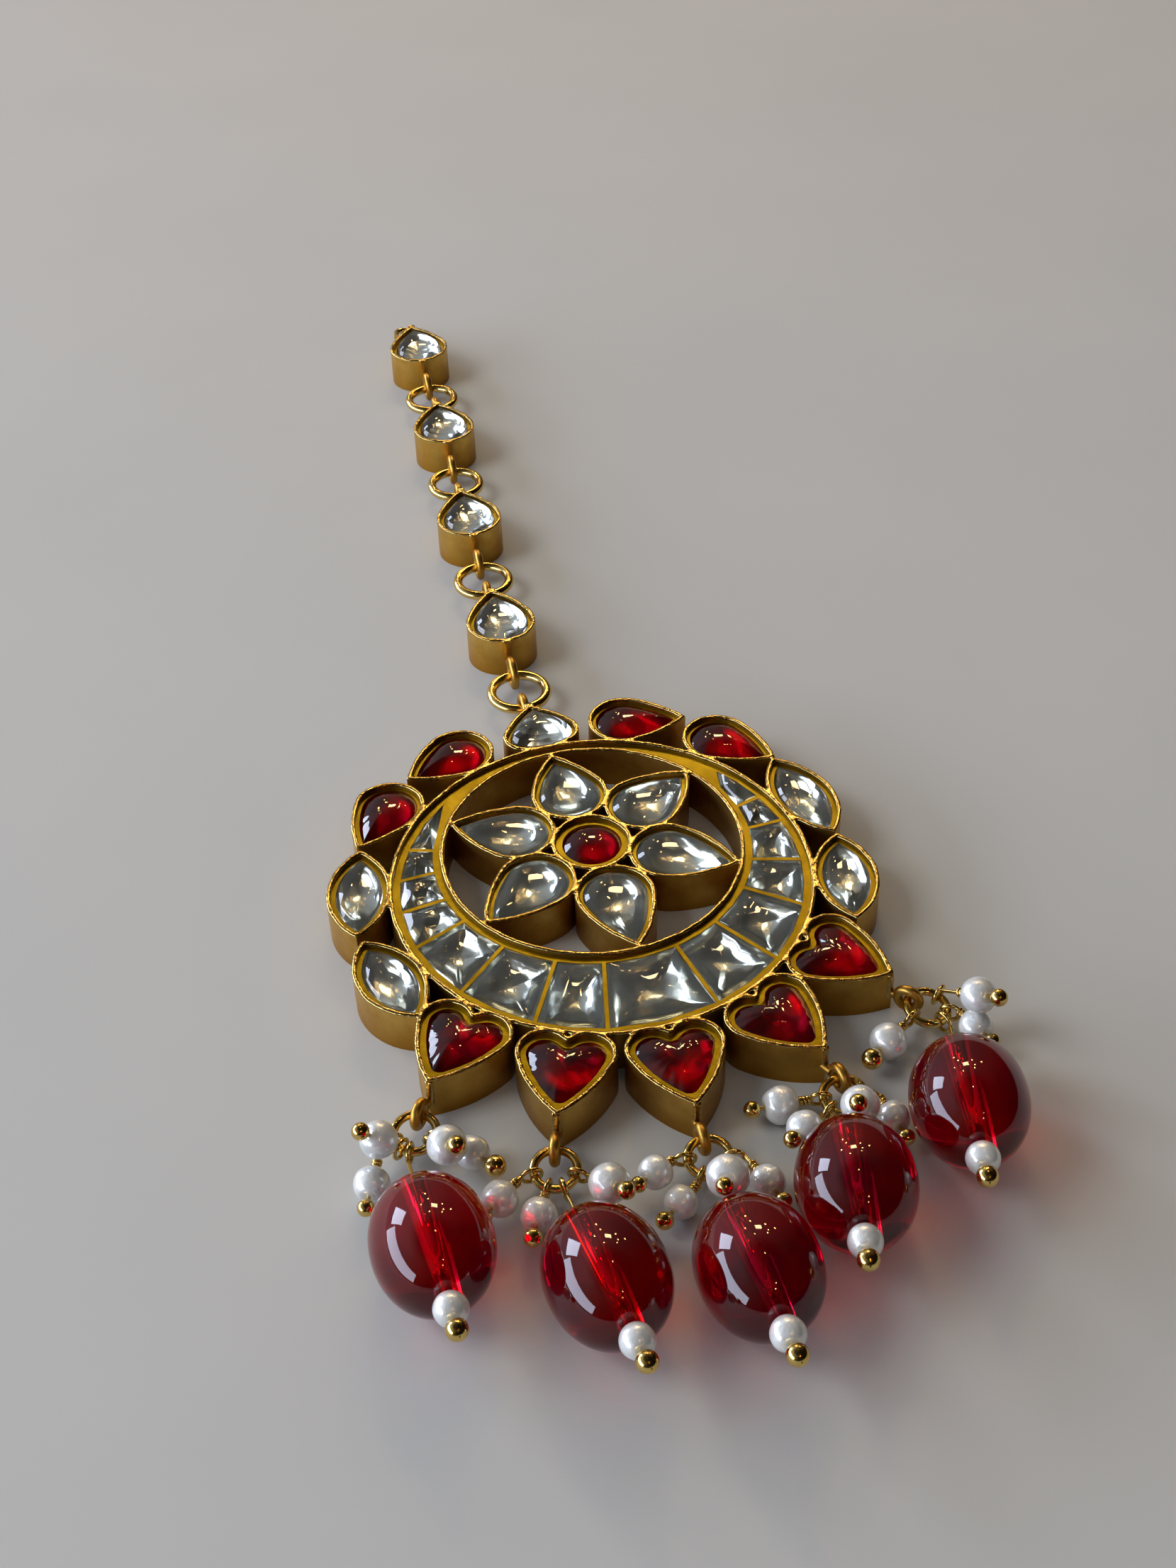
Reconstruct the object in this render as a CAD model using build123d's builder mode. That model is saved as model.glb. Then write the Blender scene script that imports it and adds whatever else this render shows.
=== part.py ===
from build123d import *
import os
from math import atan2, cos, degrees, hypot, radians, sin, sqrt

# Maang tikka: a forehead pendant with a stone chain, lying flat on its back.
# Millimetres. +Y runs along the chain, away from the pendant; Z = 0 is the surface it lies on.
os.makedirs("parts", exist_ok=True)

# ---- driving dimensions ----
PENDANT_X = 0.6             # centre of the outer ring in the part's frame
PENDANT_Y = -29.5
RIM_HEIGHT = 4.2            # top of every gold wall on the pendant
WALL = 0.4                  # thickness of the upright gold walls
BED_TOP = 3.9               # gold bed that grips the stones
SEAT = 2.2                  # floor of the pockets, where the stones sit
# Bare gold bed between a wall and its stone, by the kind of setting.
PETAL_MARGIN = 0.3
CENTRE_MARGIN = 0.6
PEAR_MARGIN = 0.35
MARQUISE_MARGIN = 0.4
HEART_MARGIN = 0.5
TOP_PEAR_MARGIN = 0.4
LINK_MARGIN = 0.45
STONE_GAP = 0.05            # play of a stone in its pocket
STONE_TOP = 4.7             # table of the faceted stones
RUBY_TOP = 4.9              # crown of the ruby cabochons
STONE_BEVEL = 0.7
RUBY_ROUNDING = 0.8
SIDE_RADIUS = 12.0          # curve of the long sides of pears and hearts

OUTER_RING_RADIUS = 19.0    # outside of the outer ring
INNER_RING_RADIUS = 13.85   # outside of the inner ring, set off towards the chain
INNER_RING_X = 0.3
INNER_RING_Y = 4.0

CENTRE_BEZEL_RADIUS = 3.7
CENTRE_BEZEL_X = 0.4
CENTRE_BEZEL_Y = 4.5

PETAL_RADIUS = 3.6
PEAR_RADIUS = 3.35
MARQUISE_WIDTH = 5.8
HEART_LOBE_RADIUS = 2.4
HEART_LOBE_SPREAD = 1.8     # from the heart's axis to the centre of a lobe
HEART_REACH = 6.55          # from between the lobes' centres to the tip
HEART_STONE_TIP = 0.8       # rounding of the ruby's tip and of its pocket
TOP_PEAR_WIDTH = 8.7
TOP_PEAR_LENGTH = 6.9
TOP_PEAR_SHOULDER = 1.9     # from its foot to its widest line
TOP_PEAR_CORNER = 2.0
TOP_PEAR_X = 0.1
TOP_PEAR_FOOT = 18.6        # where it meets the outer ring
TOP_PEAR_SIDE = (0.62, 0.66)  # middle of a side, as shares of the length and the half width

# Petals: x and y of the round end's centre, x and y of the tip.
PETALS = [
    (0.3, 11.55, 0.1, 17.5),
    (-5.75, 7.85, -11.4, 10.9),
    (-5.7, 1.1, -11.4, -2.7),
    (0.5, -2.5, 0.6, -9.5),
    (6.65, 1.3, 12.4, -2.1),
    (6.4, 8.15, 11.9, 11.2),
]
# Ruby pears on the chain side of the outer ring: the same columns.
PEARS = [
    (-16.2, 15.0, -20.2, 10.2),
    (-8.2, 20.55, -13.8, 18.3),
    (8.2, 20.55, 14.2, 19.1),
    (16.1, 15.15, 20.4, 10.6),
]
# Marquise stones down both sides: x and y of the upper tip, x and y of the lower tip.
MARQUISES = [
    (-19.9, 9.8, -22.45, -1.0),
    (-22.1, -1.6, -19.2, -11.8),
    (21.9, -1.2, 19.5, -12.0),
    (20.0, 10.5, 21.9, -1.0),
]
# Hearts round the foot: x and y between the lobes' centres, direction of the tip in degrees.
HEARTS = [
    (-15.85, -13.9, -132.0),
    (-8.7, -19.1, -112.4),
    (0.0, -20.95, -93.0),
    (8.65, -19.2, -63.8),
    (15.45, -14.25, -46.7),
]
# Cuts between the crescent's stones: angle at the outer ring about its own centre,
# angle at the inner ring about that ring's centre, both in degrees.
CRESCENT_CUTS = [
    (128.0, 140.0),
    (150.5, 163.5),
    (163.5, 175.0),
    (176.5, 189.5),
    (191.0, 202.5),
    (212.5, 221.5),
    (235.5, 241.0),
    (255.0, 257.5),
    (286.0, 283.5),
    (309.0, 301.5),
    (331.5, 321.5),
    (350.0, 336.5),
    (367.5, 353.0),
    (379.5, 365.5),
    (397.0, 390.0),
]
CRESCENT_OUTER = 18.0       # radius of the stones' outer edges
CRESCENT_INNER = 14.5       # radius of their inner edges
CRESCENT_STRIP = 0.35       # gold strip between two stones

# Loops at the hearts' tips, which carry the drops.
DROP_LOOP_RADIUS = 0.95     # centreline of the loops that carry the drops
DROP_LOOP_WIRE = 0.85
DROP_LOOP_HEIGHT = 1.9
# Loops at the hearts' tips: standoff of the loop's centre, direction that the loop faces.
DROP_LOOPS = [
    (1.5, -125.0),
    (1.6, -110.0),
    (1.6, -90.0),
    (1.6, -80.0),
    (1.5, -45.0),
]
NECK_RADIUS = 0.4           # solder neck between a loop and its wall
NECK_ROOT = 0.6             # length of a neck inside its wall
DROP_NECK = 1.2             # length of the neck that holds a drop loop

# Chain: link bezels with an upright wire eye at each end, joined by flat jump rings.
LINK_HEIGHT = 4.3
LINK_RADIUS = 3.6
LINK_REACH = 5.8            # from the round end's centre to the tip
EYE_RADIUS = 1.35           # centreline of a link's eye
EYE_WIRE = 0.8
EYE_STANDOFF = 2.3          # from a bezel's wall to the eye's centre
EYE_HEIGHT = 1.9
RING_RADIUS = 2.8           # centreline of a chain ring
RING_WIRE = 1.0
RING_HEIGHT = 1.8
RING_STANDOFF = 2.65        # from a bezel's wall to the ring's wire
STRAP_WIDTH = 0.9           # gold strap that carries the eye up the wall
STRAP_THICKNESS = 0.3
# Heading of each ring and of the link after it, in degrees from +Y towards +X.
CHAIN_HEADINGS = [
    (3.0, 3.5),
    (4.5, 4.5),
    (5.5, 5.0),
    (4.0, 3.0),
]

# Plain wire hook, in the eye of the last link.
LAST_EYE_RADIUS = 0.95
LAST_EYE_WIRE = 0.7
LAST_EYE_STANDOFF = 1.6
LAST_EYE_HEIGHT = 1.4
HOOK_WIRE = 0.7
HOOK_LOOP_RADIUS = 1.05
HOOK_SHANK = 1.2
HOOK_BEND_RADIUS = 0.9
HOOK_TAIL = 1.4
HOOK_HEADING = 9.0
HOOK_DIP = 6.0              # its far end dips to the surface
HOOK_PLAY = 0.1             # its loop sits this far off the centre of the eye

# Drops: a ring on each loop, an oval bead and small pearls on head pins.
DROP_RING_RADIUS = 1.75     # centreline
DROP_RING_WIRE = 0.72
DROP_RING_DIP = 8.0         # the ring's free side hangs lower than the loop, in degrees
PIN_WIRE = 0.36             # wire of a pin's loop
PIN_SHAFT = 0.32
PIN_LOOP_RADIUS = 0.82      # centreline of a pin's loop, closed round the drop ring
PIN_LOOP_SHIFT = 0.2        # the pin's loop is pulled off the ring wire's centre by this
BEAD_HALF_LENGTH = 6.24
BEAD_RADIUS = 4.65
BEAD_HOLE = 1.0
PEARL_HOLE = 0.62
SEED_RADIUS = 1.35          # white seed under the bead
SMALL_SEED_RADIUS = 0.75    # seed on top of the bead
BEAD_BALL_RADIUS = 0.85     # head of the bead's pin
TOUCH = 0.05                # play between things threaded on a pin
# Drops: direction of the ring from its loop; the bead's pin: its place round the ring
# (0 is the far side from the loop), its azimuth and its rise towards the lower end.
DROPS = [
    (-115.0, 0.0, -91.0, 16.0),
    (-105.0, 20.0, -89.0, 17.0),
    (-90.0, 0.0, -94.0, 17.0),
    (-100.0, -10.0, -108.0, 20.0),
    (-45.0, -25.0, -108.0, 16.0),
]
# Pearls of each drop: place round the ring, azimuth, rise, pin length to the pearl's centre,
# pearl radius, radius of the pin's ball head.
PEARLS = [
    [
        (-25.0, -165.0, 54.0, 2.4, 1.55, 0.72),
        (55.0, -73.0, 46.0, 3.3, 1.62, 0.75),
        (85.0, -55.0, 4.0, 2.6, 1.45, 0.90),
        (-60.0, -113.0, 0.0, 4.1, 1.50, 0.70),
    ],
    [
        (70.0, -68.0, 31.0, 3.5, 1.65, 0.72),
        (-20.0, -116.0, 7.0, 1.9, 1.48, 0.75),
        (-75.0, -139.0, 8.0, 2.9, 1.48, 0.70),
    ],
    [
        (50.0, -117.0, 35.0, 4.4, 1.73, 0.70),
        (-40.0, -143.0, 3.0, 2.1, 1.40, 0.75),
        (-100.0, -147.0, 15.0, 2.6, 1.40, 0.65),
        (75.0, -77.0, 5.0, 3.4, 1.45, 0.70),
    ],
    [
        (-90.0, 176.0, 1.0, 2.5, 1.60, 0.72),
        (-50.0, -140.0, 24.0, 3.6, 1.53, 0.72),
        (30.0, -123.0, 53.0, 2.9, 1.58, 0.72),
        (80.0, -84.0, 0.0, 2.4, 1.40, 0.70),
    ],
    [
        (-110.0, -144.0, 4.0, 2.8, 1.60, 0.90),
        (80.0, -66.0, 33.0, 4.8, 1.55, 0.75),
        (15.0, -78.0, 9.0, 2.2, 1.50, 0.65),
    ],
]

# ---- places and outlines ----


def spot(x, y, z=0.0):
    """A point given from the outer ring's centre, in the part's frame."""
    return Vector(x + PENDANT_X, y + PENDANT_Y, z)


def aim(azimuth, elevation=0.0):
    """Unit vector: azimuth in degrees from +X towards +Y, elevation above the surface."""
    level = cos(radians(elevation))
    return Vector(level * cos(radians(azimuth)), level * sin(radians(azimuth)), sin(radians(elevation)))


def lying(x, y, direction, z=0.0):
    """Level plane at height z whose own +X points in the given direction."""
    return Plane(origin=spot(x, y, z), x_dir=aim(direction), z_dir=(0, 0, 1))


def upright(centre, direction):
    """Upright plane through centre that holds the given direction, for rings that stand on edge."""
    return Plane(origin=centre, x_dir=aim(direction), z_dir=aim(direction - 90))


def side_arc(centre, radius, reach):
    """Where a pear's or heart's side leaves its round end, and the middle of that side.

    The side is an arc of SIDE_RADIUS that runs on from the round end and stops at (reach, 0).
    """
    base = Vector(*centre)
    along = Vector(reach, 0) - base
    length = along.length
    along = along.normalized()
    across = Vector(-along.Y, along.X)
    shift = (length ** 2 - 2 * SIDE_RADIUS * radius + radius ** 2) / (2 * length)
    drop = sqrt((SIDE_RADIUS - radius) ** 2 - shift ** 2)
    hub = base + along * shift - across * drop
    leave = base + (base - hub).normalized() * radius
    tip = Vector(reach, 0)
    middle = hub + ((leave - hub) + (tip - hub)).normalized() * SIDE_RADIUS
    return leave, middle


def flip(point):
    """The same point across the outline's axis."""
    return Vector(point.X, -point.Y)


def shrink(outline, inset):
    """An outline drawn in all round by inset."""
    if inset == 0:
        return outline
    with BuildSketch() as smaller:
        add(outline)
        offset(amount=-inset, kind=Kind.ARC)
    return smaller.sketch


def pear(radius, reach, inset=0.0):
    """Pear outline: round end about the origin, tip at +X."""
    leave, middle = side_arc((0, 0), radius, reach)
    with BuildSketch() as outline:
        with BuildLine():
            ThreePointArc(leave, (-radius, 0), flip(leave))
            ThreePointArc(flip(leave), flip(middle), (reach, 0))
            ThreePointArc((reach, 0), middle, leave)
        make_face()
    return shrink(outline.sketch, inset)


def marquise(length, width, inset=0.0):
    """Marquise outline: two arcs between tips on the X axis."""
    with BuildSketch() as outline:
        with BuildLine():
            ThreePointArc((-length / 2, 0), (0, width / 2), (length / 2, 0))
            ThreePointArc((length / 2, 0), (0, -width / 2), (-length / 2, 0))
        make_face()
    return shrink(outline.sketch, inset)


def heart(inset=0.0):
    """Heart outline: origin between the two lobes' centres, tip at +X, blunt on the stone."""
    lobe = Vector(0, HEART_LOBE_SPREAD)
    cleft = Vector(-sqrt(HEART_LOBE_RADIUS ** 2 - HEART_LOBE_SPREAD ** 2), 0)
    crown = lobe + Vector(-HEART_LOBE_RADIUS, HEART_LOBE_RADIUS) / sqrt(2)
    leave, middle = side_arc((0, HEART_LOBE_SPREAD), HEART_LOBE_RADIUS, HEART_REACH)
    with BuildSketch() as outline:
        with BuildLine():
            ThreePointArc(cleft, crown, leave)
            ThreePointArc(leave, middle, (HEART_REACH, 0))
            ThreePointArc((HEART_REACH, 0), flip(middle), flip(leave))
            ThreePointArc(flip(leave), flip(crown), cleft)
        make_face()
    if inset <= WALL:
        return shrink(outline.sketch, inset)
    with BuildSketch() as stone_outline:
        add(shrink(outline.sketch, inset))
        fillet(stone_outline.vertices().sort_by(Axis.X)[-1], radius=HEART_STONE_TIP)
    return stone_outline.sketch


def top_pear(inset=0.0):
    """Squat pear: foot at the origin, tip at +X."""
    half = TOP_PEAR_WIDTH / 2
    side = Vector(TOP_PEAR_SIDE[0] * TOP_PEAR_LENGTH, TOP_PEAR_SIDE[1] * half)
    with BuildSketch() as outline:
        with BuildLine():
            ThreePointArc((TOP_PEAR_SHOULDER, half), (0, 0), (TOP_PEAR_SHOULDER, -half))
            ThreePointArc((TOP_PEAR_SHOULDER, -half), flip(side), (TOP_PEAR_LENGTH, 0))
            ThreePointArc((TOP_PEAR_LENGTH, 0), side, (TOP_PEAR_SHOULDER, half))
        make_face()
        fillet(outline.vertices().group_by(Axis.X)[0], radius=TOP_PEAR_CORNER)
    return shrink(outline.sketch, inset)


def disc(radius, inset=0.0):
    """Round outline about the origin."""
    with BuildSketch() as outline:
        Circle(radius - inset)
    return outline.sketch


def pointing(x, y, tip_x, tip_y):
    """Direction in degrees from one point to another."""
    return degrees(atan2(tip_y - y, tip_x - x))


# Each setting: its outline as a function of the inset, the plane that it is drawn on and its margin.
petal_settings = []
for x, y, tip_x, tip_y in PETALS:
    reach = hypot(tip_x - x, tip_y - y)
    petal_settings.append(
        (
            lambda inset, reach=reach: pear(PETAL_RADIUS, reach, inset),
            lying(x, y, pointing(x, y, tip_x, tip_y)),
            PETAL_MARGIN,
        )
    )

pear_settings = []
for x, y, tip_x, tip_y in PEARS:
    reach = hypot(tip_x - x, tip_y - y)
    pear_settings.append(
        (
            lambda inset, reach=reach: pear(PEAR_RADIUS, reach, inset),
            lying(x, y, pointing(x, y, tip_x, tip_y)),
            PEAR_MARGIN,
        )
    )

marquise_settings = []
for x, y, end_x, end_y in MARQUISES:
    length = hypot(end_x - x, end_y - y)
    plane = lying((x + end_x) / 2, (y + end_y) / 2, pointing(x, y, end_x, end_y))
    marquise_settings.append(
        (lambda inset, length=length: marquise(length, MARQUISE_WIDTH, inset), plane, MARQUISE_MARGIN)
    )

heart_settings = [(heart, lying(x, y, direction), HEART_MARGIN) for x, y, direction in HEARTS]
top_setting = (top_pear, lying(TOP_PEAR_X, TOP_PEAR_FOOT, 90), TOP_PEAR_MARGIN)
centre_setting = (
    lambda inset: disc(CENTRE_BEZEL_RADIUS, inset),
    lying(CENTRE_BEZEL_X, CENTRE_BEZEL_Y, 0),
    CENTRE_MARGIN,
)
settings = petal_settings + pear_settings + marquise_settings + heart_settings
settings += [top_setting, centre_setting]


def crescent_cell(index):
    """Corners of one of the crescent's pockets, between two cuts."""
    outer_start, inner_start = CRESCENT_CUTS[index]
    outer_end, inner_end = CRESCENT_CUTS[index + 1]
    first = index == 0
    last = index == len(CRESCENT_CUTS) - 2
    outer_margin = degrees(CRESCENT_STRIP / 2 / CRESCENT_OUTER)
    inner_margin = degrees(CRESCENT_STRIP / 2 / CRESCENT_INNER)

    def outer(angle):
        return Vector(CRESCENT_OUTER * cos(radians(angle)), CRESCENT_OUTER * sin(radians(angle)))

    def inner(angle):
        x = INNER_RING_X + CRESCENT_INNER * cos(radians(angle))
        return Vector(x, INNER_RING_Y + CRESCENT_INNER * sin(radians(angle)))

    corners = [outer(outer_start + outer_margin)]
    corners.append(outer((outer_start + outer_end) / 2))
    corners.append(outer(outer_end - outer_margin))
    if not last:
        corners.append(inner(inner_end - inner_margin))
    corners.append(inner((inner_start + inner_end) / 2))
    if not first:
        corners.append(inner(inner_start + inner_margin))
    return corners


def crescent_outline(index, inset=0.0):
    """Outline of one of the crescent's pockets, or of its stone."""
    with BuildSketch() as outline:
        with BuildLine():
            Polyline(*crescent_cell(index), close=True)
        make_face()
    return shrink(outline.sketch, inset)


CRESCENT_COUNT = len(CRESCENT_CUTS) - 1
pendant_plane = lying(0, 0, 0)

# ---- pendant frame: rings, bezels, bed, eyes and drop loops, soldered into one ----


def heart_tip(index):
    """Tip of one heart bezel, from the outer ring's centre."""
    x, y, direction = HEARTS[index]
    return x + HEART_REACH * cos(radians(direction)), y + HEART_REACH * sin(radians(direction))


def drop_loop_centre(index):
    """Centre of the loop on one heart."""
    tip_x, tip_y = heart_tip(index)
    standoff, direction = DROP_LOOPS[index]
    return spot(tip_x, tip_y, DROP_LOOP_HEIGHT) + aim(HEARTS[index][2]) * standoff


top_tip = spot(TOP_PEAR_X, TOP_PEAR_FOOT + TOP_PEAR_LENGTH)

with BuildPart() as pendant_frame:
    # the two rings and the crescent's bed between them
    with BuildSketch(pendant_plane):
        Circle(OUTER_RING_RADIUS)
        Circle(OUTER_RING_RADIUS - WALL, mode=Mode.SUBTRACT)
    extrude(amount=RIM_HEIGHT)
    with BuildSketch(lying(INNER_RING_X, INNER_RING_Y, 0)):
        Circle(INNER_RING_RADIUS)
        Circle(INNER_RING_RADIUS - WALL, mode=Mode.SUBTRACT)
    extrude(amount=RIM_HEIGHT)
    with BuildSketch(pendant_plane):
        Circle(OUTER_RING_RADIUS - WALL / 2)
        with Locations((INNER_RING_X, INNER_RING_Y)):
            Circle(INNER_RING_RADIUS - WALL / 2, mode=Mode.SUBTRACT)
    extrude(amount=BED_TOP)
    # bezels: full walls first, then the bed's level, then the pocket of each stone
    for outline, plane, _ in settings:
        with BuildSketch(plane):
            add(outline(0.0))
        extrude(amount=RIM_HEIGHT)
    for outline, plane, _ in settings:
        with BuildSketch(plane.offset(BED_TOP)):
            add(outline(WALL))
        extrude(amount=RIM_HEIGHT - BED_TOP, mode=Mode.SUBTRACT)
    for outline, plane, margin in settings:
        with BuildSketch(plane.offset(SEAT)):
            add(outline(WALL + margin))
        extrude(amount=BED_TOP - SEAT, mode=Mode.SUBTRACT)
    for index in range(CRESCENT_COUNT):
        with BuildSketch(pendant_plane.offset(SEAT)):
            add(crescent_outline(index))
        extrude(amount=BED_TOP - SEAT, mode=Mode.SUBTRACT)
    # loops at the hearts' tips, with their solder necks
    for index in range(len(HEARTS)):
        centre = drop_loop_centre(index)
        facing = DROP_LOOPS[index][1]
        with Locations(upright(centre, facing)):
            Torus(DROP_LOOP_RADIUS, DROP_LOOP_WIRE / 2)
        outward = HEARTS[index][2]
        root = centre - aim(outward) * (DROP_LOOP_RADIUS + DROP_NECK)
        with BuildSketch(Plane(origin=root, z_dir=aim(outward))):
            Circle(NECK_RADIUS)
        extrude(amount=DROP_NECK)
    # eye on the top pear, with the strap that carries it
    eye_side = top_tip + Vector(0, 0, EYE_HEIGHT)
    with Locations(upright(eye_side + aim(90) * EYE_STANDOFF, 90)):
        Torus(EYE_RADIUS, EYE_WIRE / 2)
    with BuildSketch(Plane(origin=eye_side - aim(90) * NECK_ROOT, z_dir=aim(90))):
        Circle(NECK_RADIUS)
    extrude(amount=EYE_STANDOFF - EYE_RADIUS + NECK_ROOT)
    with BuildSketch(Plane(origin=top_tip, x_dir=aim(90), z_dir=(0, 0, 1))):
        Rectangle(2 * STRAP_THICKNESS, STRAP_WIDTH)
    extrude(amount=RIM_HEIGHT)
pendant_frame.part.label = "pendant_frame"
export_step(pendant_frame.part, "parts/pendant_frame.step")


# ---- stones ----


def set_stone(setting, top, trim):
    """A stone in its pocket, from the seat to its top, its upper edge trimmed by fillet or chamfer."""
    outline, plane, margin = setting
    with BuildPart() as stone:
        with BuildSketch(plane.offset(SEAT)):
            add(outline(WALL + margin + STONE_GAP))
        extrude(amount=top - SEAT)
        trim(stone.faces().sort_by(Axis.Z)[-1].edges())
    return stone.part


def facet(edges):
    """Bevels a stone's upper edge."""
    chamfer(edges, length=STONE_BEVEL)


def round_over(edges):
    """Rounds a cabochon's upper edge."""
    fillet(edges, radius=RUBY_ROUNDING)


def save_stones(name, group, top, trim):
    """One numbered node for each setting of a group."""
    for number, setting in enumerate(group, start=1):
        stone = set_stone(setting, top, trim)
        stone.label = f"{name}_{number}"
        export_step(stone, f"parts/{name}_{number}.step")


save_stones("petal_stone", petal_settings, STONE_TOP, facet)
save_stones("marquise_stone", marquise_settings, STONE_TOP, facet)
save_stones("pear_ruby", pear_settings, RUBY_TOP, round_over)
save_stones("heart_ruby", heart_settings, RUBY_TOP, round_over)

centre_ruby = set_stone(centre_setting, RUBY_TOP, round_over)
centre_ruby.label = "centre_ruby"
export_step(centre_ruby, "parts/centre_ruby.step")

top_pear_stone = set_stone(top_setting, STONE_TOP, facet)
top_pear_stone.label = "top_pear_stone"
export_step(top_pear_stone, "parts/top_pear_stone.step")

with BuildPart() as crescent_stones:
    for index in range(CRESCENT_COUNT):
        with BuildSketch(pendant_plane.offset(SEAT)):
            add(crescent_outline(index, STONE_GAP))
        extrude(amount=RIM_HEIGHT - SEAT)
crescent_stones.part.label = "crescent_stones"
export_step(crescent_stones.part, "parts/crescent_stones.step")


# ---- chain ----
def forward(heading):
    """Unit vector of a chain heading, measured from +Y towards +X."""
    return aim(90 - heading)


wall_end = top_tip
for number, (ring_heading, link_heading) in enumerate(CHAIN_HEADINGS, start=1):
    ring_centre = wall_end + forward(ring_heading) * (RING_STANDOFF + RING_RADIUS)
    with BuildPart() as chain_ring:
        with Locations(ring_centre + Vector(0, 0, RING_HEIGHT)):
            Torus(RING_RADIUS, RING_WIRE / 2)
    chain_ring.part.label = f"chain_ring_{number}"
    export_step(chain_ring.part, f"parts/chain_ring_{number}.step")

    along = forward(link_heading)
    foot = ring_centre + forward(ring_heading) * RING_RADIUS + along * RING_STANDOFF
    round_end = foot + along * LINK_RADIUS
    tip = round_end + along * LINK_REACH
    link_plane = Plane(origin=round_end, x_dir=along, z_dir=(0, 0, 1))
    last = number == len(CHAIN_HEADINGS)
    with BuildPart() as chain_link:
        with BuildSketch(link_plane):
            add(pear(LINK_RADIUS, LINK_REACH))
        extrude(amount=LINK_HEIGHT)
        with BuildSketch(link_plane.offset(BED_TOP)):
            add(pear(LINK_RADIUS, LINK_REACH, WALL))
        extrude(amount=LINK_HEIGHT - BED_TOP, mode=Mode.SUBTRACT)
        with BuildSketch(link_plane.offset(SEAT)):
            add(pear(LINK_RADIUS, LINK_REACH, WALL + LINK_MARGIN))
        extrude(amount=BED_TOP - SEAT, mode=Mode.SUBTRACT)
        ends = [(foot, -along, EYE_RADIUS, EYE_WIRE, EYE_STANDOFF, EYE_HEIGHT)]
        if last:
            ends.append((tip, along, LAST_EYE_RADIUS, LAST_EYE_WIRE, LAST_EYE_STANDOFF, LAST_EYE_HEIGHT))
        else:
            ends.append((tip, along, EYE_RADIUS, EYE_WIRE, EYE_STANDOFF, EYE_HEIGHT))
        for end, outward, radius, wire, standoff, height in ends:
            lift = Vector(0, 0, height)
            eye_plane = Plane(
                origin=end + outward * standoff + lift,
                x_dir=outward,
                z_dir=outward.cross(Vector(0, 0, 1)),
            )
            with Locations(eye_plane):
                Torus(radius, wire / 2)
            with BuildSketch(Plane(origin=end - outward * NECK_ROOT + lift, z_dir=outward)):
                Circle(wire / 2)
            extrude(amount=standoff - radius + NECK_ROOT)
            with BuildSketch(Plane(origin=end, x_dir=outward, z_dir=(0, 0, 1))):
                Rectangle(2 * STRAP_THICKNESS, STRAP_WIDTH)
            extrude(amount=LINK_HEIGHT)
    chain_link.part.label = f"chain_link_{number}"
    export_step(chain_link.part, f"parts/chain_link_{number}.step")

    link_setting = (lambda inset: pear(LINK_RADIUS, LINK_REACH, inset), link_plane, LINK_MARGIN)
    chain_stone = set_stone(link_setting, STONE_TOP, facet)
    chain_stone.label = f"chain_stone_{number}"
    export_step(chain_stone, f"parts/chain_stone_{number}.step")
    wall_end = tip

# ---- hook ----
hook_start = tip + along * (LAST_EYE_STANDOFF + HOOK_PLAY) + Vector(0, 0, LAST_EYE_HEIGHT - HOOK_PLAY)
hook_along = aim(90 - HOOK_HEADING, -HOOK_DIP)
hook_across = forward(HOOK_HEADING + 90)
hook_plane = Plane(origin=hook_start, x_dir=hook_along, z_dir=hook_across.cross(hook_along))
with BuildPart() as hook:
    loop_end = 2 * HOOK_LOOP_RADIUS
    bend_start = loop_end + HOOK_SHANK
    with Locations(hook_plane * Location((HOOK_LOOP_RADIUS, 0, 0))):
        Torus(HOOK_LOOP_RADIUS, HOOK_WIRE / 2)
    with BuildLine(hook_plane) as hook_path:
        Line((loop_end, 0), (bend_start, 0))
        ThreePointArc(
            (bend_start, 0),
            (bend_start + HOOK_BEND_RADIUS, HOOK_BEND_RADIUS),
            (bend_start, 2 * HOOK_BEND_RADIUS),
        )
        Line((bend_start, 2 * HOOK_BEND_RADIUS), (bend_start - HOOK_TAIL, 2 * HOOK_BEND_RADIUS))
    with BuildSketch(Plane(origin=hook_path.line @ 0, z_dir=hook_path.line % 0)):
        Circle(HOOK_WIRE / 2)
    sweep(path=hook_path.line)
hook.part.label = "hook"
export_step(hook.part, "parts/hook.step")

# ---- drops ----


def ring_frame(index):
    """Centre of a drop's ring, and its two axes: away from the loop, and level across."""
    direction = DROPS[index][0]
    away = aim(direction, -DROP_RING_DIP)
    across = aim(direction + 90)
    return drop_loop_centre(index) + away * DROP_RING_RADIUS, away, across


def pin_frame(index, place, azimuth, rise):
    """Plane of a pin's loop, where its shaft starts, and the shaft's direction."""
    centre, away, across = ring_frame(index)
    angle = radians(place)
    on_ring = centre + (away * cos(angle) + across * sin(angle)) * DROP_RING_RADIUS
    along_ring = across * cos(angle) - away * sin(angle)
    shaft = aim(azimuth, rise)
    outward = (shaft - along_ring * shaft.dot(along_ring)).normalized()
    loop_plane = Plane(origin=on_ring + outward * PIN_LOOP_SHIFT, x_dir=outward, z_dir=along_ring)
    start = on_ring + outward * (PIN_LOOP_SHIFT + PIN_LOOP_RADIUS)
    return loop_plane, start, shaft


def bead_reach(start, rise):
    """Distance along the pin to the centre of a bead that touches the surface."""
    slope = radians(rise)
    height = hypot(BEAD_HALF_LENGTH * sin(slope), BEAD_RADIUS * cos(slope))
    return (height - start.Z) / sin(slope)


def seated(radius):
    """From the bead's end to the centre of a seed that sits in the mouth of its hole."""
    return sqrt(radius ** 2 - (BEAD_HOLE / 2) ** 2) + TOUCH


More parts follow.
